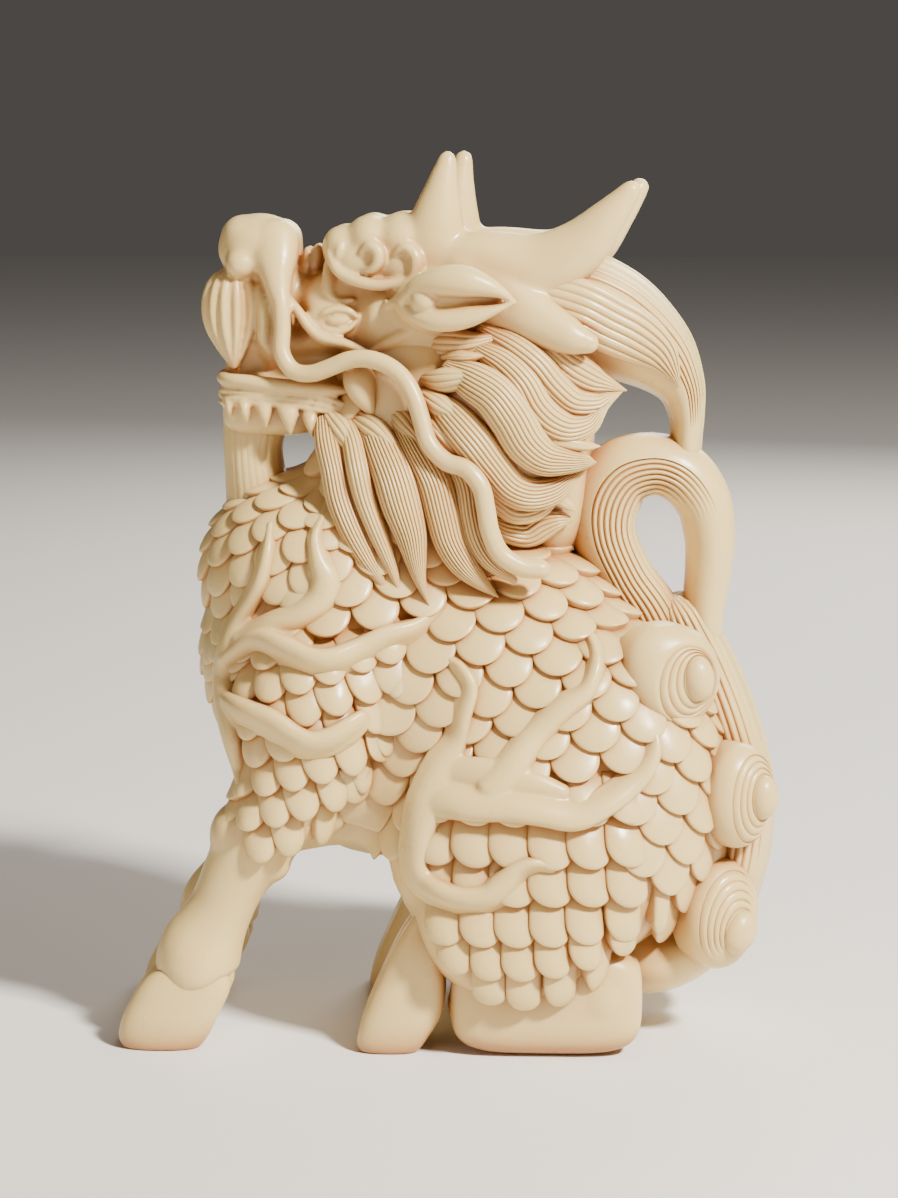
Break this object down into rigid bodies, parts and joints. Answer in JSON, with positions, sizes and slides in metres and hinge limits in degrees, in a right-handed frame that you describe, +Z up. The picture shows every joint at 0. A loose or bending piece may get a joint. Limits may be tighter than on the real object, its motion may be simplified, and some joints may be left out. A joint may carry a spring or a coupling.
{
  "type": "carved qilin figurine",
  "caption": "Seated hoofed dragon with antlers, long whiskers, wavy mane, flame scrolls and a looped tail, carved in one ivory-coloured piece that stands on its hooves and hocks.",
  "frame": {"origin": "middle of the figure's footprint box, on the plane that its hooves and hocks stand on", "axes": "+Z up; the figure looks along -X, so its left flank faces -Y"},
  "size_m": [0.0528, 0.0304, 0.07],
  "materials": {
    "ivory": "polished cream, warmer in the recesses, a little translucent"
  },
  "bodies": {
    "root": {"carved_qilin": "ivory"}
  },
  "joints": []
}
